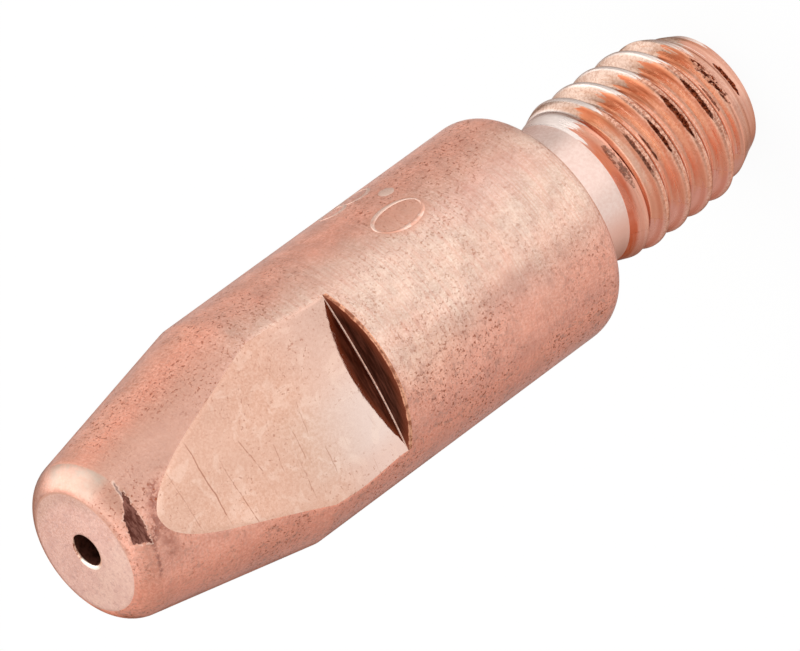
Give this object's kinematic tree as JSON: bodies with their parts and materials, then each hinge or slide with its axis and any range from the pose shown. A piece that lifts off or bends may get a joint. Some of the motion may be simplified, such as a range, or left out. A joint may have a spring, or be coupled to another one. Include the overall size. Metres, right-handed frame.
{
  "type": "welding contact tip",
  "caption": "Copper contact tip with a tapered nose, wire bore, milled wrench flats, relieved neck and a right-hand screw thread.",
  "frame": {"origin": "centre of the screwed end's face, which the part stands on", "axes": "+Z along the bore towards the nose, +X square to a wrench flat"},
  "size_m": [0.008, 0.008, 0.028],
  "materials": {
    "copper": "bright machined copper alloy, lightly tarnished, with fine turning and milling marks"
  },
  "bodies": {
    "root": {"contact_tip": "copper"}
  },
  "joints": []
}
